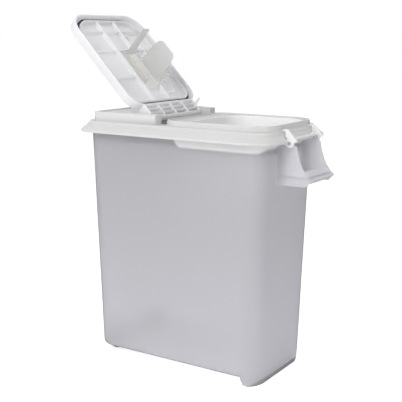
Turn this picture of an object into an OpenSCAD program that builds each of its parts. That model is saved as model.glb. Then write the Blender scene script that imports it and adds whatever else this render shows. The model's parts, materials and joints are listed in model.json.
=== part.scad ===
// Upright bin for rice and other dry goods, with a two-part lid.
// A lid frame closes the rim, and a flip lid hinged on it covers the filling opening.
// X runs along the bin, with the wheels at -X and the handle at +X.
// The origin is on the floor, under the centre of the part with its flip lid open.

/* [Bin] */
// Outside length of the bin at its rim
bin_len = 377.6; // [360:0.2:420]
// Outside width of the bin at its rim
bin_wid = 213.8; // [205:0.2:240]
// Height of the rim above the floor
rim_z = 457.5; // [400:0.5:500]
// Height of the lower edge of the walls above the floor
base_z = 18.5; // [16:0.5:22]
// Length lost between the rim and the base
len_draft = 15.2; // [8:0.2:20]
// Width lost between the rim and the base
wid_draft = 9.8; // [6:0.2:14]
// Plan radius of the vertical corners at the rim
rim_r = 25; // [18:1:30]
// Plan radius of the vertical corners at the base
base_r = 42; // [30:1:50]
// Thickness of the bin's walls and floor
bin_wall = 2.6; // [2:0.1:3.6]
// Radius of the bent edge between floor and walls
base_edge = 4; // [3:0.5:8]
// Width of the rolled bead round the rim
bead_w = 3.4; // [2:0.2:5]
// Height of the rolled bead round the rim
bead_h = 6; // [4:0.5:9]

/* [Foot] */
// Length of the skid foot along X
foot_len = 30; // [22:1:36]
// Rounding at the toe of the skid foot
foot_toe = 11; // [6:1:13]
// Inset of the skid foot's sole from the walls
foot_taper = 3; // [1:0.5:4]

/* [Wheels] */
// Radius of a wheel
wheel_r = 22; // [18:0.5:23]
// Width of a wheel
wheel_w = 20; // [14:1:24]
// Distance of the wheels' outer faces from the centre plane
wheel_track = 67; // [58:1:70]
// Distance of the axle from the outside of the end wall at the base
axle_inset = 21.2; // [18:0.2:26]
// Radius of the axle
axle_r = 4; // [3:0.25:5]
// Radial running clearance of each wheel on the axle
wheel_play = 0.08; // [0.04:0.01:0.1]
// Wall of the wheels' hubs round the axle
hub_wall = 4.5; // [3:0.5:6]
// Radial thickness of the wheels' rims
wheel_rim_t = 5; // [4:0.5:6]
// Depth of the wheels' dished faces
wheel_dish = 5; // [3:0.5:7]
// Bevel at the edges of the wheels' rims
wheel_edge = 2.2; // [1:0.2:3]
// Free space round the wheels in their recess
wheel_gap = 5; // [4:0.5:6]
// Free space beside the axle caps in the recess
cap_gap = 3; // [2:0.5:4]
// Thickness of the push-on axle caps
cap_t = 4; // [3:0.5:5]
// Thickness of the end of an axle cap, outside the axle
cap_end = 1.2; // [0.8:0.2:1.6]
// Radius of the push-on axle caps
cap_r = 7.5; // [6.5:0.5:9]
// Thickness of the bearing plates that carry the axle
bearing_t = 4; // [3:0.5:6]
// Wall of the bearing plates beside their bores
bearing_wall = 5; // [4:0.5:7]

/* [Handle] */
// Half width of the end handle, to the outside of its cheeks
handle_hw = 49; // [42:1:52]
// Reach of the handle beyond the end wall
handle_reach = 66; // [60:1:72]
// Height of the handle's shelf above the floor
shelf_z = 382; // [350:1:384]
// Thickness of the handle's cheeks, shelf and lip
handle_t = 3; // [2.4:0.2:4]
// Depth of the grip lip from its top to its lower edge
lip_h = 21; // [18:1:26]
// Rise of the grip lip above the shelf
lip_rise = 13; // [9:0.5:15]
// Depth of the cheeks below the shelf
cheek_low = 14; // [11:0.5:18]
// Clearance of the cheeks below the lid's flange
cheek_gap = 1.3; // [0.5:0.1:2]
// Reach of the cheeks beyond the end wall, just below the latch
cheek_reach = 38; // [34:0.5:44]
// Reach beyond that of the point that their hollow edge bends round
cheek_swing = 7.4; // [4:0.2:10]
// Height of that point above the shelf
cheek_bend = 14.5; // [12:0.5:24]
// Radius of the fillets between the cheeks and the wall
cheek_fillet = 8; // [4:0.5:10]
// Radius of the bosses that carry the latch's pivot studs
boss_r = 5.5; // [5:0.1:7]

/* [Lid frame] */
// Thickness of the lid frame
lid_wall = 2.6; // [2:0.1:3.4]
// Overhang of the ledge beyond the bin's ends
ledge_over_x = 8.2; // [6:0.2:12]
// Overhang of the ledge beyond the bin's sides
ledge_over_y = 2.6; // [2:0.2:6]
// Plan radius of the ledge's corners
ledge_r = 36; // [30:1:44]
// Reach of the sloping flange beyond the ledge
flange_out = 18; // [14:0.5:22]
// Drop of the flange below the ledge
flange_drop = 20.5; // [17:0.5:24]
// Distance of the platform's left edge inside the bin's end
platform_in = 15.8; // [12:0.2:30]
// Right edge of the raised platform, from the bin's centre
platform_x1 = -31; // [-34:0.5:-30]
// Distance of the platform's side edges inside the bin's sides
platform_side = 2; // [0.5:0.1:6]
// Rise of the platform above the ledge
platform_rise = 18; // [16:0.5:20]
// Depth of the tray sunk in the platform's top
tray_depth = 2; // [1:0.25:3]
// Width of the rim round the platform's tray
tray_rim = 5; // [4:0.5:8]
// Distance of the hinge pocket's ends inside the platform's side edges
pocket_side = 21.9; // [17:0.1:26]
// Left edge of the filling opening, from the bin's centre
opening_x0 = 18; // [14:0.5:19]
// Distance of the filling opening's right edge inside the bin's end
opening_in = 7.8; // [7:0.2:18]
// Distance of the filling opening's side edges inside the bin's sides
opening_side = 13.4; // [13:0.1:20]
// Plan radius of the opening's corners
opening_r = 40; // [25:1:48]
// Height of the collar's plate above the ledge
collar_rise = 6.5; // [5:0.1:7]
// Height of the sealing bead on the collar
seal_bead_h = 3.3; // [2.6:0.1:4]
// Length of the skirt that hangs below the ledge round the opening
skirt_len = 43; // [20:1:46]
// Thickness of the skirt that hangs round the opening
skirt_t = 2.2; // [1.8:0.1:2.6]
// Ledge of the collar outside the sealing bead's middle
collar_edge = 2.4; // [2:0.2:3]
// Width of the sealing bead on the collar
seal_bead_w = 2.6; // [2:0.1:3.4]
// Reach of the hinge pocket behind the hinge axis, at its top
pocket_back = 28.5; // [27:0.5:30]
// Reach of the hinge pocket behind the hinge axis, at its floor
pocket_low = 14; // [12:0.5:18]
// Thickness of the soft seal between the bin's rim and the lid frame
rim_seal_t = 3.9; // [2.5:0.1:5]

/* [Flip lid] */
// Reach of the closed flip lid beyond the bin's end
flip_over = 13.2; // [11:0.2:15]
// Distance of the flip lid's side edges inside the bin's sides
flip_side = 0.9; // [0:0.1:3]
// Rise of the closed flip lid above the platform
flip_rise = 1; // [0:0.5:3]
// Clearance of the closed lid's skirt above the ledge
skirt_gap = 2; // [1:0.25:5]
// Clearance of the closed lid's edge from the platform
flip_gap = 4.2; // [3.6:0.2:5]
// Plan radius of the corners at the hinge
flip_r0 = 32; // [26:1:36]
// Plan radius of the corners at the tip
flip_r1 = 42; // [34:1:48]
// Distance of the gasket's middle inside the cover's edge at the hinge
seal_in_hinge = 7.8; // [7:0.2:9]
// Distance of the gasket's middle inside the cover's edge at the tip
seal_in_tip = 7; // [6.4:0.2:9]
// Distance of the gasket's middle inside the cover's side edges
seal_in_side = 8; // [7:0.2:9]
// Plan radius of the gasket's corners at the hinge
seal_r0 = 26; // [20:1:30]
// Plan radius of the gasket's corners at the tip
seal_r1 = 45; // [38:1:50]
// Thickness of the flip lid's top and skirt
flip_wall = 2.2; // [1.8:0.1:2.6]
// Clearance of the closed lid's long ribs above the collar
rib_gap = 0.5; // [0.3:0.1:1.5]
// Height of the cross ribs under the flip lid's top
cross_rib_h = 6.4; // [3:0.2:6.6]
// Thickness of the flip lid's ribs
rib_t = 2.4; // [1.6:0.1:3]
// Height of the hinge axis below the flip lid's top
hinge_drop = 11.1; // [10:0.1:12]
// Distance of the hinge axis from the cover's near edge
hinge_back = 29.6; // [28:0.1:31]
// Clearance of the ribbed hinge tongue's ends in the hinge pocket
tongue_side = 2; // [1:0.25:8]
// Clearance of the closed lid's tongue above the ledge
tongue_gap = 0.8; // [0.4:0.1:1.5]
// Thickness of the webs across the tongue
web_t = 1.8; // [1.4:0.1:2.4]
// Length of the ear under the tongue's rear end
ear_h = 15; // [8:0.5:16]
// Wall of the hinge knuckle round the rod
knuckle_wall = 2.9; // [2:0.1:3.4]
// Angle through which the flip lid opens
flip_open = 134; // [110:1:135]
// Width of the flip lid's gasket
gasket_w = 4.6; // [4:0.1:5]
// Height of the flip lid's gasket
gasket_h = 4.4; // [3:0.1:5]
// Radius of the hinge rod
rod_r = 2.5; // [2:0.1:3]
// Radial running clearance of the flip lid on the rod
rod_play = 0.08; // [0.04:0.01:0.1]

/* [Scoop] */
// Length of the scoop's floor
scoop_len = 84; // [70:1:88]
// Width of the scoop's floor
scoop_wid = 44; // [36:1:45]
// Height of the scoop's tall side
scoop_h = 68; // [50:1:72]
// Height of the scoop's low side
scoop_low = 13; // [10:1:20]
// Length of the scoop's tall side at its tip
blade_len = 64; // [50:1:66]
// Distance of the studs from the ends of the scoop's floor
stud_in = 22; // [14:1:26]
// Thickness of the scoop's walls
scoop_t = 1.8; // [1.4:0.1:2.4]
// Width of the scoop's handle
scoop_grip_w = 22; // [16:1:26]
// Distance of the scoop from the cover's edge at the hinge
scoop_in = 46.8; // [44:0.2:54]
// Clearance of the scoop from the long rib beside it
scoop_gap = 1.8; // [1:0.1:3]
// Radius of the two studs that the scoop clips onto
stud_r = 3; // [2.5:0.1:3.5]

/* [Latch] */
// Clearance of the latch's arms from the handle's cheeks
latch_gap = 1.3; // [0.5:0.1:3]
// Thickness of the latch's arms in Y
latch_arm_t = 4.2; // [3:0.1:4.4]
// Reach of the latch's thumb tabs beyond the pivot
latch_tab = 14; // [11:0.5:18]
// Distance of the latch's pivot outside the flange's edge
pivot_out = 0.5; // [0:0.1:2]
// Free space beside the latch's arms in the flange's two slots
bay_gap = 3; // [2:0.25:5]
// Outer radius of the latch's hooks
hook_r = 8; // [7:0.1:8.4]
// Radius of the pivot studs on the handle's cheeks
pivot_r = 3; // [2.5:0.1:3.6]
// Radial running clearance of the hooks on the studs
pivot_play = 0.08; // [0.04:0.01:0.1]

/* [Hidden] */
$fn = 96;
seam = 0.3;       // gap between faces of parts that move past each other
press = 0.02;     // radial room in a bore that holds its rod fast
tiny = 0.01;      // thickness of the slices that a hull joins

// Bin
base_len = bin_len - len_draft;
base_wid = bin_wid - wid_draft;
floor_z = base_z + bin_wall;
end_x = bin_len / 2;
base_end_x = base_len / 2;

// Wheels
axle_x = -base_end_x + axle_inset;
wheel_y = wheel_track - wheel_w / 2;
well_x1 = axle_x + wheel_r + wheel_gap;
well_hw = wheel_track + seam + cap_t + cap_gap;
well_z = 2 * wheel_r + wheel_gap;
axle_len = 2 * (wheel_track + seam + cap_t - cap_end);
bearing_y = wheel_track - wheel_w - seam - bearing_t;

// Lid frame
under_z = rim_z + rim_seal_t;
ledge_z = under_z + lid_wall;
platform_z = ledge_z + platform_rise;
lip_z = ledge_z - flange_drop;
platform_x0 = platform_in - end_x;
platform_hw = bin_wid / 2 - platform_side;
opening_x1 = end_x - opening_in;
opening_hw = bin_wid / 2 - opening_side;
ledge_len = bin_len + 2 * ledge_over_x;
ledge_wid = bin_wid + 2 * ledge_over_y;
collar_z = ledge_z + collar_rise;
bead_z = collar_z + seal_bead_h;

// Flip lid, in its closed place
flip_z = platform_z + flip_rise;
flip_x0 = platform_x1 + flip_gap;
flip_x1 = end_x + flip_over;
flip_hw = bin_wid / 2 - flip_side;
skirt_z = ledge_z + skirt_gap;
flip_under_z = flip_z - flip_wall;
hinge_x = flip_x0 - hinge_back;
hinge_z = flip_z - hinge_drop;
knuckle_r = rod_r + knuckle_wall;
rib_z = collar_z + rib_gap;
long_rib_h = flip_under_z - rib_z;
cross_z = flip_under_z - cross_rib_h;
tongue_z = ledge_z + tongue_gap;
seal_x0 = flip_x0 + seal_in_hinge;
seal_x1 = flip_x1 - seal_in_tip;
seal_hw = flip_hw - seal_in_side;
gasket_z = bead_z + seam;
collar_x0 = seal_x0 - collar_edge;
collar_x1 = seal_x1 + collar_edge;
collar_hw = seal_hw + collar_edge;
collar_r0 = seal_r0 + collar_edge;
collar_r1 = seal_r1 + collar_edge;

// Hinge pocket
pocket_hw = platform_hw - pocket_side;
pocket_x0 = hinge_x - pocket_back;
pocket_x1 = collar_x0 - lid_wall / 2;
pocket_z = lip_z + lid_wall;
pocket_mid_x = hinge_x - pocket_low;
tongue_hw = pocket_hw - tongue_side;

// Latch and handle
pivot_x = end_x + ledge_over_x + flange_out + pivot_out;
pivot_z = lip_z;
latch_y = handle_hw + latch_gap + latch_arm_t / 2;
bay_y0 = handle_hw - handle_t - bay_gap;
bay_y1 = latch_y + latch_arm_t / 2 + bay_gap;
bay_x = pivot_x - hook_r - 1;      // inner edge of the slots cut into the flange
handle_x1 = end_x + handle_reach;

// Scoop, in the flip lid's closed place
scoop_shift = 1;                    // shift of the scoop off the centre plane
scoop_x0 = flip_x0 + scoop_in;
scoop_y0 = -scoop_wid / 2 - scoop_shift;
scoop_z = cross_z - seam;
stud_x = [scoop_x0 + stud_in, scoop_x0 + scoop_len - stud_in];
stud_y = scoop_y0 + scoop_wid / 2;

// Ribs under the flip lid, in its closed place
rib_y = scoop_wid / 2 + scoop_shift + scoop_gap + rib_t / 2;
cross_rib_x = [for (d = [74.8, 141.8, 189.8]) flip_x0 + d];
loop_x0 = flip_x0 + 30.8;
loop_x1 = flip_x0 + 184.8;
loop_wid = 36;                      // reach of the loop rib beyond the long rib
loop_r = 34;                        // radius of the loop rib's corners at the tip

// The open flip lid and the handle set how far the part reaches each way
tip_dx = flip_x1 - hinge_x;
reach_x0 = hinge_x + tip_dx * cos(flip_open) - hinge_drop * sin(flip_open);
centre_x = (reach_x0 + handle_x1) / 2;

module round_rect(len, wid, r) {
    square([len - 2 * r, wid], center = true);
    square([len, wid - 2 * r], center = true);
    for (sx = [-1, 1], sy = [-1, 1])
        translate([sx * (len / 2 - r), sy * (wid / 2 - r)]) circle(r);
}

// Outline from x0 to x1 and half width hw, with radius r0 at x0 and r1 at x1
module lid_outline(x0, x1, hw, r0, r1) {
    translate([x0 + r0, -hw]) square([x1 - x0 - r0 - r1, 2 * hw]);
    translate([x0, r0 - hw]) square([r0 + tiny, 2 * (hw - r0)]);
    translate([x1 - r1 - tiny, r1 - hw]) square([r1 + tiny, 2 * (hw - r1)]);
    for (s = [-1, 1]) {
        translate([x0 + r0, s * (hw - r0)]) circle(r0);
        translate([x1 - r1, s * (hw - r1)]) circle(r1);
    }
}

// Ring of width w, centred on the outline, from z up by h
module lid_ring(x0, x1, hw, r0, r1, w, z, h) {
    d = w / 2;
    translate([0, 0, z]) linear_extrude(h) difference() {
        lid_outline(x0 - d, x1 + d, hw + d, r0 + d, r1 + d);
        lid_outline(x0 + d, x1 - d, hw - d, r0 - d, r1 - d);
    }
}

// Sweeps a profile round a rounded rectangle; the profile's X points outward
module sweep_rect(len, wid, r) {
    for (turn = [0, 90, 180, 270]) {
        reach = turn % 180 == 0 ? len : wid;
        side = turn % 180 == 0 ? wid : len;
        rotate(turn) translate([reach / 2, side / 2 - r, 0]) {
            rotate([90, 0, 0]) linear_extrude(side - 2 * r) children();
            translate([-r, 0, 0]) rotate_extrude(angle = 90) translate([r, 0]) children();
        }
    }
}

// Extrudes an outline drawn in X and Z, centred on y
module across(y, w) {
    translate([0, y + w / 2, 0]) rotate([90, 0, 0]) linear_extrude(w) children();
}

// Puts what is modelled closed into the open place
module opened() {
    translate([hinge_x, 0, hinge_z]) rotate([0, -flip_open, 0])
        translate([-hinge_x, 0, -hinge_z]) children();
}

module in_frame() { translate([-centre_x, 0, 0]) children(); }

// Outside of the end wall at height z
function wall_x(z) = base_end_x + (z - base_z) / (rim_z - base_z) * len_draft / 2;

// Points of an arc round (x, z)
function arc(x, z, r, a0, a1, n = 10) =
    [for (i = [0:n]) let (a = a0 + (a1 - a0) * i / n) [x + r * cos(a), z + r * sin(a)]];

// Tapered block with rounded corners; grow moves every wall outward
module bin_block(grow, z0, z1, edge) {
    hull() {
        for (step = [[0, 1], [0.3, 0.3], [1, 0]])
            translate([0, 0, z0 + step[0] * edge]) linear_extrude(tiny)
                round_rect(base_len + 2 * grow - 2 * step[1] * edge,
                           base_wid + 2 * grow - 2 * step[1] * edge,
                           base_r + grow - step[1] * edge, $fn = 64);
        translate([0, 0, z1 - tiny]) linear_extrude(tiny)
            round_rect(bin_len + 2 * grow, bin_wid + 2 * grow, rim_r + grow, $fn = 64);
    }
}

// Box of the wheel recess, grown by a wall
module wheel_well(grow) {
    translate([-end_x - 10, -well_hw - grow, -10])
        cube([well_x1 + grow + end_x + 10, 2 * (well_hw + grow), well_z + grow + 10]);
}

// Bearing plate under the recess, with its bore open at the bottom
module bearing_plate(y) {
    half = axle_r + bearing_wall;
    slot = 0.8 * axle_r;
    difference() {
        translate([axle_x - half, y - bearing_t / 2, wheel_r - axle_r])
            cube([2 * half, bearing_t, well_z + bin_wall / 2 - wheel_r + axle_r]);
        translate([axle_x, y + bearing_t, wheel_r]) rotate([90, 0, 0])
            cylinder(r = axle_r + press, h = 2 * bearing_t);
        translate([axle_x - slot, y - bearing_t, 0]) cube([2 * slot, 2 * bearing_t, wheel_r]);
    }
}

// Slice of the foot from z up by h, inside the base's outline and cut off at x0
module foot_slice(z, h, inset, x0) {
    intersection() {
        translate([0, 0, z]) linear_extrude(h)
            round_rect(base_len - 2 * inset, base_wid - 2 * inset, base_r - inset, $fn = 64);
        translate([x0, -end_x, -1]) cube(2 * end_x);
    }
}

// Full-width skid foot under the end away from the wheels
module skid_foot() {
    x0 = base_end_x - foot_len;
    hull() {
        foot_slice(base_z - foot_taper, base_edge + foot_taper, seam, x0);
        foot_slice(foot_toe / 3, tiny, foot_taper / 2, x0 + foot_toe / 3);
        foot_slice(0, tiny, foot_taper, x0 + foot_toe);
    }
}

// Fillet between a cheek's face and the wall, in plan; the face is at Y = 0
module wall_fillet() {
    difference() {
        translate([-bin_wall / 2, -handle_t / 2])
            square([cheek_fillet + bin_wall / 2, cheek_fillet + handle_t / 2]);
        translate([cheek_fillet, cheek_fillet]) circle(cheek_fillet);
    }
}

// Point of the cheeks' hollow outer edge: u is 0 below the latch and 1 at the lip's nose
function cheek_edge(u) =
    (1 - u) * (1 - u) * [end_x + cheek_reach, lip_z - boss_r]
    + 2 * u * (1 - u) * [end_x + cheek_reach + cheek_swing, shelf_z + cheek_bend]
    + u * u * [handle_x1, shelf_z - handle_t / 3];

// Outward end handle: cheeks with pivot studs, a shelf and a down-turned grip lip
module end_handle() {
    t = handle_t;
    steps = 8;                      // parts that the cheeks' hollow edge is drawn in
    skin = 0.2;                     // how far the lip stays inside the cheeks' outline
    top = lip_z - cheek_gap;
    low = shelf_z - cheek_low;
    lip_top = shelf_z + lip_rise;
    lip_low = lip_top - lip_h;
    nose_top = shelf_z - t / 3;
    nose_low = nose_top - t;
    tuck = 5;                       // how far it turns back below the nose
    x1 = handle_x1 - skin;
    wall_top = wall_x(top) - bin_wall / 2;
    wall_low = wall_x(low) - bin_wall / 2;
    cheek = concat(
        [[wall_top, top], [pivot_x - boss_r, top]],
        arc(pivot_x, pivot_z, boss_r, 150, -35, 8),
        [for (i = [0:steps]) cheek_edge(i / steps)],
        [[handle_x1, nose_low], [handle_x1 - tuck, lip_low - skin],
         [handle_x1 - 3 * t, low + 1], [wall_low, low]]);
    lip = concat(
        [for (i = [0:steps]) cheek_edge(i / steps) - [skin, 0]],
        [[x1, nose_low], [x1 - tuck, lip_low], [x1 - tuck - 0.8 * t, lip_low + 0.7 * t],
         [x1 - t, nose_low]],
        [for (i = [steps:-1:0]) cheek_edge(i / steps) - [skin + t, 0]]);
    shelf = [[wall_x(shelf_z) - bin_wall / 2, shelf_z], [handle_x1 - t, shelf_z],
             [handle_x1 - t - 2, shelf_z + t], [wall_x(shelf_z) - bin_wall / 2, shelf_z + t]];
    for (s = [-1, 1]) {
        across(s * (handle_hw - t / 2), t) polygon(cheek);
        translate([pivot_x, s * (latch_y + handle_hw - t) / 2, pivot_z]) rotate([90, 0, 0])
            cylinder(r = pivot_r, h = latch_y - handle_hw + t + latch_arm_t, center = true);
        scale([1, s, 1]) translate([wall_x(low), 0, low]) linear_extrude(top - low) {
            translate([0, handle_hw]) wall_fillet();
            translate([0, handle_hw - t]) scale([1, -1]) wall_fillet();
        }
    }
    across(0, 2 * handle_hw - t / 3) {
        intersection() {
            polygon(lip);
            translate([end_x, lip_low - t]) square([handle_reach, lip_h + t]);
        }
        polygon(shelf);
    }
}

module bin_shell() {
    color([0.8, 0.81, 0.84, 0.6]) in_frame() {
        difference() {
            union() {
                difference() {
                    bin_block(0, base_z, rim_z, base_edge);
                    bin_block(-bin_wall, floor_z, rim_z + 1, base_edge);
                }
                intersection() {
                    bin_block(-0.2, base_z, rim_z, base_edge);
                    wheel_well(bin_wall);
                }
                skid_foot();
            }
            wheel_well(0);
        }
        translate([0, 0, rim_z - bead_h]) linear_extrude(bead_h) difference() {
            round_rect(bin_len + 2 * bead_w, bin_wid + 2 * bead_w, rim_r + bead_w);
            round_rect(bin_len - bin_wall, bin_wid - bin_wall, rim_r - bin_wall / 2);
        }
        end_handle();
        for (s = [-1, 1]) bearing_plate(s * bearing_y);
    }
}

// Cross-section of the flange, from the ledge's edge outward
module flange_profile() {
    t = lid_wall;
    f = flange_out;
    crest = 1.5;                    // rounding where the ledge turns down
    knee_z = ledge_z - 7;           // where the flange turns outward
    hem_z = lip_z + 3.6;            // top of the upright hem
    polygon([[-2 * t, ledge_z], [0, ledge_z], [crest, ledge_z - crest], [f / 3, knee_z],
             [f - crest, hem_z + 1.2 * crest], [f, hem_z], [f, lip_z], [f - t, lip_z],
             [f - t, hem_z - crest / 2], [f - t - crest, hem_z + crest / 2],
             [f / 3 - t, knee_z - t / 4], [1 - t, under_z], [-2 * t, under_z]]);
}

// Space of the hinge pocket, open at the top and towards the collar
module pocket_space() {
    over = platform_z + 9;
    across(0, 2 * pocket_hw) polygon([
        [pocket_x0, over], [pocket_x0, platform_z - 3], [pocket_mid_x, hinge_z - 12],
        [pocket_mid_x, pocket_z], [pocket_x1, pocket_z], [pocket_x1, over]]);
}

module platform() {
    len = platform_x1 - platform_x0;
    mid = (platform_x0 + platform_x1) / 2;
    t = lid_wall;
    translate([mid, 0, 0]) difference() {
        translate([0, 0, under_z]) linear_extrude(platform_z - under_z)
            round_rect(len, 2 * platform_hw, 4);
        translate([0, 0, under_z - 1]) linear_extrude(platform_z - tray_depth - t - under_z + 1)
            round_rect(len - 2 * t, 2 * platform_hw - 2 * t, 3);
        translate([0, 0, platform_z - tray_depth]) linear_extrude(tray_depth + 1)
            round_rect(len - 2 * tray_rim, 2 * (platform_hw - tray_rim), 3);
    }
}

// Walls of the hinge pocket, with bosses for the hinge rod
module pocket_walls() {
    t = lid_wall;
    across(0, 2 * (pocket_hw + t)) polygon([
        [pocket_x0 - t, platform_z], [pocket_x0 - t, platform_z - 4],
        [pocket_mid_x - t, hinge_z - 13], [pocket_mid_x - t, pocket_z - t],
        [pocket_x1 + t, pocket_z - t], [pocket_x1 + t, ledge_z], [platform_x1, ledge_z],
        [platform_x1, platform_z]]);
    for (s = [-1, 1])
        translate([hinge_x, s * (pocket_hw + t + 1.5), hinge_z]) rotate([90, 0, 0])
            cylinder(r = rod_r + 3, h = 3.4, center = true);
}

module collar() {
    t = lid_wall;
    translate([0, 0, under_z]) linear_extrude(collar_z - under_z) difference() {
        lid_outline(collar_x0, collar_x1, collar_hw, collar_r0, collar_r1);
        lid_outline(collar_x0 + t, collar_x1 - t, collar_hw - t, collar_r0 - t, collar_r1 - t);
    }
    translate([0, 0, collar_z - t]) linear_extrude(t)
        lid_outline(collar_x0, collar_x1, collar_hw, collar_r0, collar_r1);
    lid_ring(seal_x0, seal_x1, seal_hw, seal_r0, seal_r1, seal_bead_w,
             collar_z - t / 2, seal_bead_h + t / 2);
    translate([0, 0, ledge_z - skirt_len]) linear_extrude(skirt_len + collar_rise)
        lid_outline(opening_x0 - skirt_t, opening_x1 + skirt_t, opening_hw + skirt_t,
                    opening_r + skirt_t, opening_r + skirt_t);
}

module lid_frame() {
    color("whitesmoke") in_frame() difference() {
        union() {
            difference() {
                translate([0, 0, under_z]) linear_extrude(lid_wall)
                    round_rect(ledge_len, ledge_wid, ledge_r);
                translate([platform_x0 + 1, 1 - platform_hw, under_z - 1])
                    cube([platform_x1 - platform_x0 - 2, 2 * platform_hw - 2, lid_wall + 2]);
                translate([0, 0, under_z - 1]) linear_extrude(lid_wall + 2)
                    lid_outline(collar_x0 + 1, collar_x1 - 1, collar_hw - 1,
                                collar_r0 - 1, collar_r1 - 1);
            }
            sweep_rect(ledge_len, ledge_wid, ledge_r) flange_profile();
            platform();
            pocket_walls();
            collar();
        }
        pocket_space();
        translate([0, 0, under_z - skirt_len - 10]) linear_extrude(skirt_len + 40)
            lid_outline(opening_x0, opening_x1, opening_hw, opening_r, opening_r);
        for (s = [-1, 1]) scale([1, s, 1]) translate([bay_x, bay_y0, lip_z - 5])
            cube([2 * flange_out, bay_y1 - bay_y0, flange_drop + 4]);
        translate([hinge_x, 0, hinge_z]) rotate([90, 0, 0])
            cylinder(r = rod_r + press, h = 2 * (pocket_hw + lid_wall + 6), center = true);
    }
}

module rim_seal() {
    color("gainsboro") in_frame() translate([0, 0, rim_z]) linear_extrude(rim_seal_t)
        difference() {
            round_rect(bin_len, bin_wid, rim_r);
            round_rect(bin_len - 2 * bin_wall, bin_wid - 2 * bin_wall, rim_r - bin_wall);
        }
}

// Ribbed tongue that carries the flip lid on the hinge rod
module tongue() {
    pitch = (tongue_hw - rib_t / 2) / 2;
    cell = (hinge_back - web_t) / 3;
    web_x = hinge_x - rib_t / 2;
    ear_t = 2;
    ear_x = hinge_x + 13;
    translate([web_x, -tongue_hw, flip_under_z])
        cube([flip_x0 - web_x + 1, 2 * tongue_hw, flip_wall]);
    translate([web_x, -tongue_hw, hinge_z]) cube([rib_t, 2 * tongue_hw, flip_z - hinge_z]);
    for (k = [-2:2])
        translate([hinge_x, pitch * k - rib_t / 2, tongue_z])
            cube([flip_x0 - hinge_x + 1, rib_t, flip_z - tongue_z]);
    for (k = [1:3])
        translate([hinge_x + k * cell, -tongue_hw, tongue_z + 1])
            cube([web_t, 2 * tongue_hw, flip_z - tongue_z - 1]);
    across(tongue_hw - ear_t / 2, ear_t) polygon([
        [ear_x, tongue_z + 2], [ear_x + 5, tongue_z - ear_h], [ear_x + 9, tongue_z - ear_h],
        [ear_x + 8.5, tongue_z + 2]]);
    translate([hinge_x, 0, hinge_z]) rotate([90, 0, 0])
        cylinder(r = knuckle_r, h = 2 * tongue_hw, center = true);
}

module flip_lid() {
    w = flip_wall;
    in_d = gasket_w / 2 + seam + rib_t / 2;
    in_r0 = seal_r0 - in_d;
    in_r1 = seal_r1 - in_d;
    in_x0 = seal_x0 + in_d;
    in_x1 = seal_x1 - in_d;
    in_hw = seal_hw - in_d;
    stud_end = 2;                   // how far the studs stand out of the scoop's floor
    color("white") in_frame() opened() difference() {
        union() {
            translate([0, 0, flip_under_z]) linear_extrude(w)
                lid_outline(flip_x0, flip_x1, flip_hw, flip_r0, flip_r1);
            translate([0, 0, skirt_z]) linear_extrude(flip_z - skirt_z) difference() {
                lid_outline(flip_x0, flip_x1, flip_hw, flip_r0, flip_r1);
                lid_outline(flip_x0 + w, flip_x1 - w, flip_hw - w, flip_r0 - w, flip_r1 - w);
            }
            lid_ring(in_x0, in_x1, in_hw, in_r0, in_r1, rib_t, rib_z, long_rib_h + 1);
            lid_ring(seal_x0, seal_x1, seal_hw, seal_r0, seal_r1, gasket_w,
                     gasket_z + gasket_h, flip_z - gasket_z - gasket_h - 1);
            for (y = [-rib_y, rib_y])
                translate([in_x0, y - rib_t / 2, rib_z])
                    cube([in_x1 - in_x0, rib_t, long_rib_h + 1]);
            intersection() {
                translate([0, 0, cross_z]) linear_extrude(cross_rib_h + 1)
                    lid_outline(in_x0, in_x1, in_hw, in_r0, in_r1);
                union() {
                    for (x = cross_rib_x)
                        translate([x, -flip_hw, 0]) cube([rib_t, 2 * flip_hw, flip_z]);
                    difference() {
                        lid_ring(loop_x0, loop_x1, rib_y + loop_wid, 4, loop_r, rib_t,
                                 0, flip_z);
                        translate([0, -flip_hw, 0]) cube([flip_x1, flip_hw + rib_y, flip_z]);
                    }
                }
            }
            for (x = stud_x)
                translate([x, stud_y, cross_z - scoop_t - stud_end])
                    cylinder(r = stud_r, h = cross_rib_h + scoop_t + stud_end);
            tongue();
        }
        translate([hinge_x, 0, hinge_z]) rotate([90, 0, 0])
            cylinder(r = rod_r + rod_play, h = 2 * flip_hw, center = true);
    }
}

module flip_lid_gasket() {
    color("midnightblue") in_frame() opened()
        lid_ring(seal_x0, seal_x1, seal_hw, seal_r0, seal_r1, gasket_w, gasket_z, gasket_h);
}

module hinge_rod() {
    color("silver") in_frame() translate([hinge_x, 0, hinge_z]) rotate([90, 0, 0])
        cylinder(r = rod_r, h = 2 * (pocket_hw + lid_wall + 3), center = true);
}

// Handle of the scoop: a slanting tab with its end at tip_z, drawn in Y and Z
module scoop_grip(tip_z) {
    g = scoop_grip_w;
    polygon([[scoop_y0 + 12, scoop_z], [scoop_y0 + 12 + g, scoop_z], [scoop_y0 + 2 + g, tip_z],
             [scoop_y0 - 2 + g, tip_z - 4], [scoop_y0 + 3, tip_z - 4], [scoop_y0, tip_z]]);
}

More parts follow.
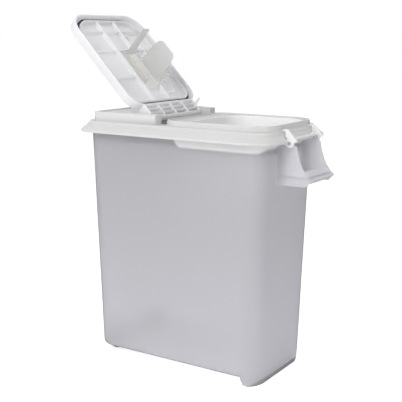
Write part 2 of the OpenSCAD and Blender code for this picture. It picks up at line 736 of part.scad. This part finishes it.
module scoop() {
    x1 = scoop_x0 + scoop_len;
    y1 = scoop_y0 + scoop_wid;
    t = scoop_t;
    low_z = scoop_z - scoop_low;
    tip_z = scoop_z - scoop_h;
    heel_r = 8;                     // rounding of the tall side's tip, near the hinge
    toe_r = 14;                     // rounding of its tip, away from the hinge
    near_x = scoop_x0 + 16 + heel_r;
    far_x = scoop_x0 + blade_len - toe_r;
    tall = concat(
        [[scoop_x0 + 3, scoop_z], [scoop_x0 + 11, tip_z + 20]],
        arc(near_x, tip_z + heel_r, heel_r, 190, 270, 6),
        arc(far_x, tip_z + toe_r, toe_r, 270, 350, 8),
        [[scoop_x0 + blade_len + 1, tip_z + 30], [scoop_x0 + blade_len + 1, scoop_z]]);
    color([0.83, 0.83, 0.83, 0.6]) in_frame() opened() difference() {
        union() {
            translate([scoop_x0, scoop_y0, scoop_z - t]) cube([scoop_len, scoop_wid, t]);
            across(y1 - t / 2, t) polygon(tall);
            translate([scoop_x0 + 6, scoop_y0, low_z]) cube([scoop_len - 6, t, scoop_low]);
            translate([x1 - t, scoop_y0, low_z]) cube([t, scoop_wid, scoop_low]);
            translate([x1 - t, 0, 0]) rotate([90, 0, 90]) linear_extrude(t) scoop_grip(tip_z);
        }
        for (x = stud_x)
            translate([x, stud_y, scoop_z - 3 * t]) cylinder(r = stud_r + seam, h = 6 * t);
    }
}

// Latch: two hooked arms that snap onto the handle's studs, and a slim bar between them
module latch() {
    t = 3;                          // thickness of the arms' tops and the bar
    top = ledge_z + seam;
    lap = skirt_gap - 2 * seam;     // thickness of the arms' ends under the closed flip lid
    end = collar_x1 + seam;         // the arms' ends stop just short of the collar
    tip = flip_x1 + 2 * seam;       // the arms rise just clear of the closed flip lid
    bar_r = boss_r + 2 * seam;      // the bar clears the bosses as the latch turns
    outer = pivot_x + latch_tab;
    thumb_z = pivot_z + 5;
    arm = [[end, top], [end, top + lap], [tip, top + lap], [tip, top + t],
           [bay_x + 4.5, top + 1.2 * t], [outer, thumb_z],
           [outer - 0.5, thumb_z - 2.4], [outer - 4, thumb_z - 2.4], [pivot_x + 5, pivot_z],
           [pivot_x - 1, thumb_z], [bay_x + 1.5, pivot_z + hook_r + 2], [bay_x + 0.8, top]];
    bar = concat(arc(pivot_x, pivot_z, bar_r, 100, 55, 4),
                 arc(pivot_x, pivot_z, bar_r + t, 55, 100, 4));
    color("white") in_frame() {
        for (s = [-1, 1]) across(s * latch_y, latch_arm_t) difference() {
            union() {
                polygon(arm);
                translate([pivot_x, pivot_z]) circle(hook_r);
            }
            translate([pivot_x, pivot_z]) circle(pivot_r + pivot_play);
            translate([pivot_x, pivot_z])
                polygon([[0, 0], [-2 * hook_r, 1.5], [-2 * hook_r, 6], [-4.5, 5.5]]);
        }
        across(0, 2 * latch_y) polygon(bar);
    }
}

module axle() {
    color("silver") in_frame() translate([axle_x, 0, wheel_r]) rotate([90, 0, 0])
        cylinder(r = axle_r, h = axle_len, center = true);
}

module wheel() {
    half = wheel_w / 2;
    r0 = axle_r + wheel_play;
    r1 = r0 + hub_wall;
    r2 = wheel_r - wheel_rim_t;
    flank = half - 0.8;             // the rim's sides are set back from the hub's ends
    face = [[r0, half], [r1, half], [r1, half - 0.6 * wheel_dish], [r2 - 1, half - wheel_dish],
            [r2, flank], [wheel_r - wheel_edge, flank], [wheel_r, flank - wheel_edge]];
    back = [for (i = [len(face) - 1:-1:0]) [face[i][0], -face[i][1]]];
    rotate([90, 0, 0]) rotate_extrude() polygon(concat(face, back));
}

module wheel_front() {
    color([0.12, 0.12, 0.13]) in_frame() translate([axle_x, -wheel_y, wheel_r]) wheel();
}

module wheel_rear() {
    color([0.12, 0.12, 0.13]) in_frame() translate([axle_x, wheel_y, wheel_r]) wheel();
}

// Push-on cap that keeps a wheel on the axle, pointing outward along +Y
module axle_cap() {
    bevel = 1.5;
    translate([0, wheel_track + seam, 0]) rotate([-90, 0, 0]) difference() {
        rotate_extrude() polygon([[0, 0], [cap_r, 0], [cap_r, cap_t - bevel],
                                  [cap_r - bevel, cap_t], [0, cap_t]]);
        translate([0, 0, -1]) cylinder(r = axle_r + press, h = cap_t - cap_end + 1);
    }
}

module axle_cap_front() {
    color("dimgray") in_frame() translate([axle_x, 0, wheel_r]) rotate(180) axle_cap();
}

module axle_cap_rear() {
    color("dimgray") in_frame() translate([axle_x, 0, wheel_r]) axle_cap();
}
bin_shell();
lid_frame();
rim_seal();
flip_lid();
flip_lid_gasket();
hinge_rod();
scoop();
latch();
axle();
wheel_front();
wheel_rear();
axle_cap_front();
axle_cap_rear();
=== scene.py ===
"""Rice bin with flip lid: finishes, fine shapes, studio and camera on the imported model."""
import json
import math

import bmesh
import bpy
from mathutils import Matrix, Vector, kdtree


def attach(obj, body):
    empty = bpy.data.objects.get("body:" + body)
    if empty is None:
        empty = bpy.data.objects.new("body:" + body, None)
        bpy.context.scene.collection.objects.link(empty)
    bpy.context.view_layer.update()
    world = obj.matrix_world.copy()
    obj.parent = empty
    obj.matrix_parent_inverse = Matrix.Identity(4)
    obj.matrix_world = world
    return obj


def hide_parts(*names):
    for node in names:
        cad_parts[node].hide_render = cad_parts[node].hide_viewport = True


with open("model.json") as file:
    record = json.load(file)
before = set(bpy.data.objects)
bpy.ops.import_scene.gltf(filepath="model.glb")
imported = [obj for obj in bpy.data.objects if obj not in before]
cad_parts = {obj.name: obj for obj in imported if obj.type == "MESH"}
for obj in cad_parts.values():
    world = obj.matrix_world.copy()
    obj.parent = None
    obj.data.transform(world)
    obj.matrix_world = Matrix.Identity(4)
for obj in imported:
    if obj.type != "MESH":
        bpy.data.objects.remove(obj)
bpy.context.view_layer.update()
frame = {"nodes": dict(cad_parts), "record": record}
MM = 0.001

# ---------------------------------------------------------------- node helpers

NOISE_RANGE = (0.3, 0.7)   # a noise factor's usual range
MASK_EDGE = 0.5 * MM       # a colour mask's soft edge
WAVE = 0.4 * MM            # height of a moulded face's faint wave
GRAIN = 0.012 * MM         # depth of the fine grain
FINE_GRAIN = 0.01 * MM     # its depth on translucent plastic
COARSE_GRAIN = 0.03 * MM   # its depth on rubber and on the wheels
VIEW_BEND = 1.08           # how much the view through a translucent wall is bent
VIEW_BLUR = 0.16           # and how much it is blurred
THROAT_SHARE = 0.2         # how much of its glow and clearness the tub keeps before the throat
# Painted light: where the tub is painted lighter, near the floor and at the handle: axis, two
# places in metres, the gain at each
TUB_PAINTED_LIGHT_RAMPS = (("Z", (0, 0.3), (1.1, 1)), ("X", (0.19, 0.205), (1, 1.12)))


def new_material(name):
    """An empty node material and its node tree."""
    material = bpy.data.materials.new(name)
    material.use_nodes = True
    material.node_tree.nodes.clear()
    return material, material.node_tree


def add(tree, kind, **settings):
    """A new node with its plain settings."""
    node = tree.nodes.new(kind)
    for key, value in settings.items():
        setattr(node, key, value)
    return node


def place(tree):
    """The socket of a piece's own coordinates, in metres."""
    return add(tree, "ShaderNodeTexCoord").outputs["Object"]


def mapped(tree, value, start, end, kind="LINEAR"):
    """A number moved from one range to another."""
    node = add(tree, "ShaderNodeMapRange", interpolation_type=kind)
    node.inputs["From Min"].default_value, node.inputs["From Max"].default_value = start
    node.inputs["To Min"].default_value, node.inputs["To Max"].default_value = end
    tree.links.new(value, node.inputs["Value"])
    return node.outputs["Result"]


def noise(tree, scale, detail=3.0, stretch=(1, 1, 1)):
    """Noise stretched along the axes; returns its factor socket."""
    mapping = add(tree, "ShaderNodeMapping")
    mapping.inputs["Scale"].default_value = stretch
    texture = add(tree, "ShaderNodeTexNoise")
    texture.inputs["Scale"].default_value = scale
    texture.inputs["Detail"].default_value = detail
    tree.links.new(place(tree), mapping.inputs["Vector"])
    tree.links.new(mapping.outputs["Vector"], texture.inputs["Vector"])
    return texture.outputs["Fac"]


def two_tones(tree, factor, dark, light):
    """Maps a noise factor to a colour between two close tones."""
    ramp = add(tree, "ShaderNodeValToRGB")
    for end, at, tone in zip(ramp.color_ramp.elements, NOISE_RANGE, (dark, light)):
        end.position = at
        end.color = (*tone, 1)
    tree.links.new(factor, ramp.inputs["Fac"])
    return ramp.outputs["Color"]


def uneven(tree, factor, middle):
    """A roughness that wanders a little round its middle."""
    return mapped(tree, factor, NOISE_RANGE, (middle * 0.85, middle * 1.15))


def bump(tree, heights):
    """Chains bumps from (factor, distance in metres) pairs; returns the normal socket."""
    normal = None
    for factor, distance in heights:
        node = add(tree, "ShaderNodeBump")
        node.inputs["Distance"].default_value = distance
        tree.links.new(factor, node.inputs["Height"])
        if normal:
            tree.links.new(normal, node.inputs["Normal"])
        normal = node.outputs["Normal"]
    return normal


def vector_step(tree, kind, vector, other=(0, 0, 0)):
    """One step of vector arithmetic with a constant."""
    node = add(tree, "ShaderNodeVectorMath", operation=kind)
    node.inputs[1].default_value = other
    tree.links.new(vector, node.inputs[0])
    return node.outputs["Value" if kind in ("LENGTH", "DOT_PRODUCT") else "Vector"]


def within(tree, low, high, corner, soft=MASK_EDGE):
    """Mask of the places inside a box with round corners."""
    middle = [(a + b) / 2 for a, b in zip(low, high)]
    reach = [(b - a) / 2 - corner for a, b in zip(low, high)]
    vector = vector_step(tree, "SUBTRACT", place(tree), middle)
    vector = vector_step(tree, "ABSOLUTE", vector)
    vector = vector_step(tree, "SUBTRACT", vector, reach)
    vector = vector_step(tree, "MAXIMUM", vector)
    return mapped(tree, vector_step(tree, "LENGTH", vector), (corner - soft, corner + soft),
                  (1.0, 0.0), "SMOOTHSTEP")


def below(tree, normal, level):
    """Mask of the places under a slanted plane, given by its normal and its level along it."""
    return mapped(tree, vector_step(tree, "DOT_PRODUCT", place(tree), normal),
                  (level, level + MASK_EDGE), (1.0, 0.0))


def paler(tree, colour, mask, pale):
    """The colour, changed to a paler one where the mask is 1, as painted light."""
    mix = add(tree, "ShaderNodeMix", data_type="RGBA")
    mix.inputs["B"].default_value = (*pale, 1)
    tree.links.new(mask, mix.inputs["Factor"])
    tree.links.new(colour, mix.inputs["A"])
    return mix.outputs["Result"]


def lifted(tree, colour, *ramps):
    """The colour, painted lighter along the axes as painted light: each ramp is an axis, two
    places, two gains.
    """
    axes = add(tree, "ShaderNodeSeparateXYZ")
    tree.links.new(place(tree), axes.inputs["Vector"])
    for axis, places, gains in ramps:
        scale = add(tree, "ShaderNodeVectorMath", operation="SCALE")
        tree.links.new(colour, scale.inputs[0])
        tree.links.new(mapped(tree, axes.outputs[axis], places, gains), scale.inputs["Scale"])
        colour = scale.outputs["Vector"]
    return colour


def blended(tree, share, first, second):
    """Two surfaces mixed; the second one's share is a number or a socket."""
    node = add(tree, "ShaderNodeMixShader")
    if isinstance(share, float):
        node.inputs["Fac"].default_value = share
    else:
        tree.links.new(share, node.inputs["Fac"])
    tree.links.new(first.outputs[0], node.inputs[1])
    tree.links.new(second.outputs[0], node.inputs[2])
    return node


def finished(tree, surface):
    """Links a surface node to a new material output."""
    out = add(tree, "ShaderNodeOutputMaterial")
    tree.links.new(surface.outputs[0], out.inputs["Surface"])


def moulded(name, dark, light, roughness, grain=GRAIN, subsurface=0.0, glow=0.0, inside=None):
    """Moulded plastic: two close tones, uneven gloss, fine grain and a faint wave.

    With some glow it also lets light from behind through, as thin white plastic does.
    Inside a box, given by its two corners and its corner radius, it is painted almost white as
    painted light.
    """
    material, tree = new_material(name)
    shader = add(tree, "ShaderNodeBsdfPrincipled")
    colour = two_tones(tree, noise(tree, 9.0), dark, light)
    if inside:
        # Painted light: almost white inside the box
        colour = paler(tree, colour, within(tree, *inside), (0.97, 0.97, 0.97))
    tree.links.new(colour, shader.inputs["Base Color"])
    tree.links.new(uneven(tree, noise(tree, 30.0, 4.0), roughness), shader.inputs["Roughness"])
    tree.links.new(bump(tree, [(noise(tree, 14.0, 1.0), WAVE), (noise(tree, 900.0, 2.0), grain)]),
                   shader.inputs["Normal"])
    shader.inputs["Subsurface Weight"].default_value = subsurface
    shader.inputs["Subsurface Radius"].default_value = (1.0, 0.95, 0.9)
    shader.inputs["Subsurface Scale"].default_value = 4 * MM
    if glow:
        through = add(tree, "ShaderNodeBsdfTranslucent")
        through.inputs["Color"].default_value = (*light, 1)
        shader = blended(tree, glow, shader, through)
    finished(tree, shader)
    return material


def translucent(name, dark, light, roughness, glow, clear, throat=None, plate=None):
    """Translucent moulded plastic: part diffuse, part light let through, part blurred view.

    With a throat it is painted paler and less clear inside the throat's box, as painted light from
    the throat behind the wall, and painted lighter near the floor and at the handle.
    Under a plate's plane it has the plate's warmer colour, painted paler as painted light on a
    base in shade.
    """
    material, tree = new_material(name)
    colour = two_tones(tree, noise(tree, 3.0, 2.0), dark, light)
    normal = bump(tree, [(noise(tree, 5.0, 1.0), 2 * WAVE), (noise(tree, 700.0, 2.0), FINE_GRAIN)])
    surface = add(tree, "ShaderNodeBsdfPrincipled")
    surface.inputs["IOR"].default_value = 1.46
    through = add(tree, "ShaderNodeBsdfTranslucent")
    view = add(tree, "ShaderNodeBsdfRefraction")
    view.inputs["IOR"].default_value = VIEW_BEND
    view.inputs["Roughness"].default_value = VIEW_BLUR
    if throat:
        # Painted light: lighter near the floor and at the handle
        colour = lifted(tree, colour, *TUB_PAINTED_LIGHT_RAMPS)
        # Painted light: paler, and less clear, where the throat hangs behind the wall
        mask = within(tree, *throat)
        colour = paler(tree, colour, mask, (0.97, 0.97, 0.98))
        glow, clear = (mapped(tree, mask, (0.0, 1.0), (value, THROAT_SHARE * value))
                       for value in (glow, clear))
    if plate:
        normal_way, level, pale = plate
        # Painted light: paler, slightly warmer colour on the scoop's base, which lies in shade
        colour = paler(tree, colour, below(tree, normal_way, level), pale)
    for node, socket in ((surface, "Base Color"), (through, "Color"), (view, "Color")):
        tree.links.new(colour, node.inputs[socket])
        tree.links.new(normal, node.inputs["Normal"])
    tree.links.new(uneven(tree, noise(tree, 22.0, 4.0), roughness), surface.inputs["Roughness"])
    finished(tree, blended(tree, clear, blended(tree, glow, surface, through), view))
    return material


def steel(name):
    """Drawn steel rod, with fine rings along its length."""
    material, tree = new_material(name)
    shader = add(tree, "ShaderNodeBsdfPrincipled")
    shader.inputs["Metallic"].default_value = 1.0
    tone = two_tones(tree, noise(tree, 60.0, 4.0, (1, 6, 1)),
                     (0.52, 0.52, 0.53), (0.66, 0.66, 0.67))
    gloss = mapped(tree, noise(tree, 90.0, 3.0, (1, 9, 1)), NOISE_RANGE, (0.22, 0.4))
    rings = bump(tree, [(noise(tree, 300.0, 2.0, (0.2, 8, 0.2)), 0.04 * MM)])
    tree.links.new(tone, shader.inputs["Base Color"])
    tree.links.new(gloss, shader.inputs["Roughness"])
    tree.links.new(rings, shader.inputs["Normal"])
    finished(tree, shader)
    return material


# ------------------------------------------------------------------- finishes

# Painted light on the tub: paler where the lid's throat hangs close behind its side walls, in
# metres: a box's two corners, its corner radius and its soft edge
THROAT_PAINTED_LIGHT = ((0.006, -1, 0.428), (0.187, 1, 0.49), 0.016, 0.003)
# The same just outside the throat's inner faces, painted almost white as painted light where more
# light reaches them
THROAT_INSIDE_PAINTED_LIGHT = ((0.011, -0.0945, 0.35), (0.1765, 0.0945, 0.53), 0.0415)
# The scoop's base with the lid open, painted paler as painted light where it lies in shade: its
# normal, its upper side's level along it, its colour
SCOOP_BASE_PAINTED_LIGHT = ((0.71934, 0, 0.69466), 0.2834, (1.0, 0.99, 0.965))

# Each finish: a name, its dark tone, its light tone, then its roughness and other settings
MATERIALS = {
    "bin_shell": translucent("tub_plastic", (0.82, 0.82, 0.838), (0.84, 0.84, 0.858), 0.38,
                             glow=0.5, clear=0.5, throat=THROAT_PAINTED_LIGHT),
    "lid_frame": moulded("white_plastic", (0.64, 0.64, 0.637), (0.68, 0.68, 0.677), 0.36,
                         subsurface=0.15, inside=THROAT_INSIDE_PAINTED_LIGHT),
    "flip_lid": moulded("flip_plastic", (0.93, 0.93, 0.94), (0.96, 0.96, 0.97), 0.34,
                        glow=0.42),
    "latch": moulded("latch_plastic", (0.92, 0.92, 0.92), (0.95, 0.95, 0.95), 0.3,
                     glow=0.2),
    "scoop": translucent("scoop_plastic", (0.80, 0.80, 0.795), (0.83, 0.83, 0.825), 0.3,
                         glow=0.45, clear=0.42, plate=SCOOP_BASE_PAINTED_LIGHT),
    "flip_lid_gasket": moulded("gasket_rubber", (0.004, 0.005, 0.014), (0.008, 0.009, 0.022),
                               0.6, grain=COARSE_GRAIN),
    "rim_seal": moulded("seal_rubber", (0.6, 0.6, 0.58), (0.66, 0.66, 0.64), 0.6),
    "hinge_rod": steel("rod_steel"),
    "axle": steel("axle_steel"),
    "wheel_front": moulded("wheel_plastic", (0.01, 0.01, 0.012), (0.02, 0.02, 0.022), 0.5,
                           grain=COARSE_GRAIN),
    "axle_cap_front": moulded("cap_plastic", (0.05, 0.055, 0.07), (0.07, 0.075, 0.09), 0.45),
}
MATERIALS["wheel_rear"] = MATERIALS["wheel_front"]
MATERIALS["axle_cap_rear"] = MATERIALS["axle_cap_front"]

# --------------------------------------------------------------- fine shapes

STRAIGHT = math.radians(0.5)     # faces that differ by less than this are one flat face
ARC_STEP = math.radians(25)      # facets of a round surface differ by less than this
FOLD = math.radians(125)         # a sharper turn than this in a rounded surface is a fold
FOLD_STEP = 2 * MM               # distance between the points tested along a fold
FOLD_ROUNDS = 6                  # how often the rounding beside folds is narrowed, at most
FOLD_REACH = 1.5                 # edges this near a fold are narrowed, in widths of the rounding
THINNEST = 0.1 * MM              # a rounding narrower than this is left out
SHARP = math.radians(40)         # a sharper turn than this is shaded as an edge
PARALLEL = 0.8                   # cosine from which two edges run side by side
ACROSS = 0.3                     # share of its length from which an edge leads away from another
# How much of the way to the neighbour a rounding may take: beside one of its own kind or none,
# an outer edge beside an inner corner, and an inner corner beside an outer edge
ROOM_ALIKE, ROOM_OUTER, ROOM_INNER = 0.44, 0.16, 0.78
WIDE = 150 * MM                  # a flat region wider than this both ways may be parted
# The pieces whose wide regions run round an opening
PARTED = ("lid_frame", "flip_lid")
TOUCHING = 0.01 * MM             # points nearer than this are one point
CORNER_STEPS = 12                # steps round each corner of the bead


def facing(far, along):
    """The kind of edge that runs this way from a far corner: 1 outer, -1 inner, 0 none."""
    for other in far.link_edges:
        way = (other.other_vert(far).co - far.co).normalized()
        if abs(way.dot(along)) > PARALLEL and other.calc_face_angle(0) > ARC_STEP:
            return 1 if other.calc_face_angle_signed(0) > 0 else -1
    return 0


def room(edge):
    """How wide a bevel may be on an edge before it meets its neighbours', in metres."""
    along = (edge.verts[1].co - edge.verts[0].co).normalized()
    kind = 1 if edge.calc_face_angle_signed(0) > 0 else -1
    widest = 1.0
    for vert in edge.verts:
        for other in vert.link_edges:
            if other is edge:
                continue
            far = other.other_vert(vert)
            across = along.cross(far.co - vert.co).length
            if across > ACROSS * other.calc_length():
                share = ROOM_OUTER if kind == 1 else ROOM_INNER
                if facing(far, along) in (kind, 0):
                    share = ROOM_ALIKE
                widest = min(widest, share * across)
    return widest


def flat_regions(work):
    """Lists of connected faces that lie in one plane, each starting with its largest face."""
    faces = sorted(work.faces, key=lambda face: (-face.calc_area(), face.index))
    left = dict.fromkeys(faces)
    for first in faces:
        if first not in left:
            continue
        del left[first]
        region = [first]
        for face in region:
            for edge in face.edges:
                for other in edge.link_faces:
                    if other in left and other.normal.angle(first.normal, math.pi) < STRAIGHT:
                        del left[other]
                        region.append(other)
        yield region


def disc_from(seed, left):
    """Lists connected faces from one on, as far as they keep a single outline."""
    group, inside, verts = [seed], {seed}, set(seed.verts)
    for face in group:
        for edge in face.edges:
            for other in edge.link_faces:
                if other in inside or other not in left:
                    continue
                shared = [e for e in other.edges if any(f in inside for f in e.link_faces)]
                ends = {vert for e in shared for vert in e.verts}
                if len(shared) > 2 or any(v in verts for v in other.verts if v not in ends):
                    continue
                group.append(other)
                inside.add(other)
                verts.update(other.verts)
    return group


def quarters(region):
    """A flat region's faces, parted into quarters, so that no joined face runs round a hole."""
    places = [vert.co for face in region for vert in face.verts]
    low, high = ([pick(p[k] for p in places) for k in range(3)] for pick in (min, max))
    if sum(b - a > WIDE for a, b in zip(low, high)) < 2:
        return [region]
    middle = [(a + b) / 2 for a, b in zip(low, high)]
    parts = {}
    for face in region:
        centre = face.calc_center_median()
        side = tuple(centre[k] > middle[k] + TOUCHING for k in range(3))
        parts.setdefault(side, []).append(face)
    return list(parts.values())


def cleaned(mesh, parted):
    """The mesh with its triangles joined into a few large flat faces without holes."""
    work = bmesh.new()
    work.from_mesh(mesh)
    bmesh.ops.remove_doubles(work, verts=work.verts, dist=TOUCHING)
    work.normal_update()
    groups = []
    parts = list(flat_regions(work))
    if parted:
        parts = [part for region in parts for part in quarters(region)]
    for part in parts:
        left = dict.fromkeys(part)
        for seed in part:
            if seed in left:
                group = disc_from(seed, left)
                for face in group:
                    del left[face]
                groups.append(group)
    for group in groups:
        if len(group) > 1:
            bmesh.ops.dissolve_faces(work, faces=group)
    return work


def between(start, end):
    """Evenly spaced points from start to end."""
    steps = int((end - start).length / FOLD_STEP) + 1
    return [start.lerp(end, i / steps) for i in range(steps + 1)]


def fold_points(piece):
    """Points where the rounded surface would fold back on itself."""
    state = bpy.context.evaluated_depsgraph_get()
    state.update()
    shown = piece.evaluated_get(state)
    work = bmesh.new()
    work.from_mesh(shown.to_mesh())
    bmesh.ops.triangulate(work, faces=work.faces)
    points = []
    for edge in work.edges:
        if len(edge.link_faces) == 2 and edge.calc_face_angle(0) > FOLD:
            points += between(*(vert.co.copy() for vert in edge.verts))
    work.free()
    shown.to_mesh_clear()
    return points


def settle(piece, mesh, widest):
    """Narrows the rounding beside each fold until none is left, or for a few rounds."""
    for _ in range(FOLD_ROUNDS):
        points = fold_points(piece)
        if not points:
            return
        tree = kdtree.KDTree(len(points))
        for index, point in enumerate(points):
            tree.insert(point, index)
        tree.balance()
        weight = mesh.attributes["bevel_weight_edge"].data
        for edge in mesh.edges:
            if not weight[edge.index].value:
                continue
            ends = (mesh.vertices[v].co for v in edge.vertices)
            if min(tree.find(point)[2] for point in between(*ends)) < FOLD_REACH * widest:
                value = 0.5 * weight[edge.index].value
                weight[edge.index].value = value if value * widest > THINNEST else 0.0
        mesh.update()


def rounded(node, body, convex, concave, material):
    """A copy of a CAD node with its edges rounded and its inner corners filleted."""
    source = frame["nodes"][node]
    mesh = source.data.copy()
    mesh.name = node + "_moulded"
    work = cleaned(mesh, node in PARTED)
    weight = work.edges.layers.float.new("bevel_weight_edge")
    widest = max(convex, concave)
    for edge in work.edges:
        if len(edge.link_faces) != 2 or edge.calc_face_angle() < ARC_STEP:
            continue
        wanted = concave if edge.calc_face_angle_signed() < 0 else convex
        edge[weight] = min(wanted, room(edge)) / widest
    work.to_mesh(mesh)
    work.free()
    mesh.materials.clear()
    mesh.materials.append(material)
    mesh.shade_smooth()
    mesh.set_sharp_from_angle(angle=SHARP)
    piece = bpy.data.objects.new(node + "_moulded", mesh)
    piece.matrix_world = source.matrix_world
    bpy.context.collection.objects.link(piece)
    bevel = piece.modifiers.new("rounding", "BEVEL")
    bevel.limit_method = "WEIGHT"
    bevel.width = widest
    bevel.segments = 3
    bevel.use_clamp_overlap = False
    settle(piece, mesh, widest)
    shading = piece.modifiers.new("even_shading", "WEIGHTED_NORMAL")
    shading.keep_sharp = True
    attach(piece, body)
    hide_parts(node)


BODIES = {node: body for body, nodes in frame["record"]["behaviour"]["bodies"].items()
          for node in nodes}
# Radii of the outer edges and of the inner corners, in millimetres
ROUNDING = {"bin_shell": (1.0, 1.6), "lid_frame": (0.9, 1.4), "flip_lid": (0.6, 6.5),
            "flip_lid_gasket": (0.4, 0.4), "scoop": (0.6, 1.6), "latch": (0.8, 1.0),
            "wheel_front": (0.8, 1.2), "wheel_rear": (0.8, 1.2)}

for node, material in MATERIALS.items():
    for slot in frame["nodes"][node].material_slots:
        slot.material = material
for node, (convex, concave) in ROUNDING.items():
    rounded(node, BODIES[node], convex * MM, concave * MM, MATERIALS[node])


def bead(name, node, middle, reach, corner, height, radius, gap):
    """A thin moulded line round a flange, open where the latch's arms cross it.

    The gap gives how far from the middle each opening starts and ends.
    """
    outline = [(reach[0], gap[1])]
    for k, (sx, sy) in enumerate(((1, 1), (-1, 1), (-1, -1), (1, -1))):
        for step in range(CORNER_STEPS + 1):
            turn = math.radians(90 * k + 90 / CORNER_STEPS * step)
            outline.append((sx * (reach[0] - corner) + corner * math.cos(turn),
                            sy * (reach[1] - corner) + corner * math.sin(turn)))
    outline.append((reach[0], -gap[1]))
    curve = bpy.data.curves.new(name, "CURVE")
    curve.dimensions = "3D"
    curve.bevel_depth = radius
    curve.bevel_resolution = 2
    curve.use_fill_caps = True
    for path in (outline, [(reach[0], gap[0]), (reach[0], -gap[0])]):
        spline = curve.splines.new("POLY")
        spline.points.add(len(path) - 1)
        for point, (x, y) in zip(spline.points, path):
            point.co = (middle + x, y, height, 1)
    drawn = bpy.data.objects.new(name + "_path", curve)
    bpy.context.collection.objects.link(drawn)
    state = bpy.context.evaluated_depsgraph_get()
    mesh = bpy.data.meshes.new_from_object(drawn.evaluated_get(state))
    bpy.data.objects.remove(drawn)
    mesh.materials.clear()
    mesh.materials.append(MATERIALS[node])
    mesh.shade_smooth()
    piece = bpy.data.objects.new(name, mesh)
    bpy.context.collection.objects.link(piece)
    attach(piece, BODIES[node])


bead("lid_frame_bead", "lid_frame", middle=-5.46 * MM, reach=(201.9 * MM, 114.4 * MM),
     corner=41 * MM, height=458 * MM, radius=0.9 * MM, gap=(43 * MM, 60 * MM))

# --------------------------------------------------------------------- studio

FLOOR_GLOW = 0.66      # what the floor adds for the camera, so that it shows as white
WORLD_LIGHT = 0.47     # how strongly the world lights the bin
AIM = (0, 0, 0.3)      # about the bin's middle
# Each lamp: its place in metres, the side of its square in metres, its power in watts
LAMPS = {"key": ((-1.0, -2.4, 1.1), 1.4, 13), "front": ((0.2, -2.1, 1.9), 0.7, 24),
         "fill": ((2.5, -1.2, 0.4), 0.5, 11), "top": ((0.3, 0.2, 2.6), 1.6, 3)}
CAMERA_PLACE = (0.86425, -1.35817, 0.62999)
CAMERA_TURN = (32.54, 11.24, 0.33)     # azimuth, pitch and roll in degrees
FOCAL_PX, FRAME_PX = 852.88, 402       # focal length and picture width in pixels


def area_light(name, at, size, power):
    """A soft square lamp aimed at the bin."""
    data = bpy.data.lights.new(name, "AREA")
    data.shape = "SQUARE"
    data.size = size
    data.energy = power
    lamp = bpy.data.objects.new(name, data)
    lamp.location = at
    lamp.rotation_euler = (Vector(AIM) - Vector(at)).to_track_quat("-Z", "Y").to_euler()
    bpy.context.collection.objects.link(lamp)


def ray_is(tree, kinds):
    """1 for rays of any of these kinds, and 0 for the others."""
    path = add(tree, "ShaderNodeLightPath")
    seen = path.outputs[kinds[0]]
    for kind in kinds[1:]:
        either = add(tree, "ShaderNodeMath", operation="MAXIMUM")
        tree.links.new(seen, either.inputs[0])
        tree.links.new(path.outputs[kind], either.inputs[1])
        seen = either.outputs["Value"]
    return seen


def lay_floor():
    """A pale floor that keeps the object's shadow and that the camera sees as white."""
    bpy.ops.mesh.primitive_plane_add(size=16, location=(0, 0, 0))
    floor = bpy.context.object
    floor.name = "studio_floor"
    material, tree = new_material("studio_floor")
    diffuse = add(tree, "ShaderNodeBsdfDiffuse")
    diffuse.inputs["Color"].default_value = (0.9, 0.9, 0.9, 1)
    glow = add(tree, "ShaderNodeEmission")
    strength = mapped(tree, ray_is(tree, ["Is Camera Ray"]), (0, 1), (0, FLOOR_GLOW))
    tree.links.new(strength, glow.inputs["Strength"])
    both = add(tree, "ShaderNodeAddShader")
    tree.links.new(diffuse.outputs["BSDF"], both.inputs[0])
    tree.links.new(glow.outputs["Emission"], both.inputs[1])
    finished(tree, both)
    floor.data.materials.append(material)


def surroundings():
    """A plain white world: dim as a light, and white where it is seen or mirrored."""
    world = bpy.data.worlds.new("studio_world")
    world.use_nodes = True
    bpy.context.scene.world = world
    tree = world.node_tree
    tree.nodes.clear()
    seen = ray_is(tree, ["Is Camera Ray", "Is Glossy Ray", "Is Transmission Ray"])
    background = add(tree, "ShaderNodeBackground")
    background.inputs["Color"].default_value = (1, 1, 1, 1)
    tree.links.new(mapped(tree, seen, (0, 1), (WORLD_LIGHT, 1.0)), background.inputs["Strength"])
    out = add(tree, "ShaderNodeOutputWorld")
    tree.links.new(background.outputs["Background"], out.inputs["Surface"])


def camera():
    """The photograph's camera, placed by a fit to the bin's edges."""
    azimuth, pitch, roll = (math.radians(angle) for angle in CAMERA_TURN)
    back = Vector((math.sin(azimuth) * math.cos(pitch), -math.cos(azimuth) * math.cos(pitch),
                   math.sin(pitch)))
    right = Vector((math.cos(azimuth), math.sin(azimuth), 0))
    up = back.cross(right)
    rolled_right = right * math.cos(roll) + up * math.sin(roll)
    rolled_up = up * math.cos(roll) - right * math.sin(roll)
    data = bpy.data.cameras.new("photo_camera")
    data.sensor_width = 36
    data.lens = FOCAL_PX / FRAME_PX * data.sensor_width
    # The fit counts pixels from their middles, which puts its centre half a pixel off
    data.shift_x = -0.5 / FRAME_PX
    data.shift_y = 0.5 / FRAME_PX
    data.clip_end = 50
    eye = bpy.data.objects.new("photo_camera", data)
    turn = Matrix((rolled_right, rolled_up, back)).transposed().to_4x4()
    eye.matrix_world = Matrix.Translation(Vector(CAMERA_PLACE)) @ turn
    bpy.context.collection.objects.link(eye)
    bpy.context.scene.camera = eye


lay_floor()
surroundings()
for name, lamp in LAMPS.items():
    area_light(name, *lamp)
camera()
bpy.context.scene.view_settings.view_transform = "Standard"
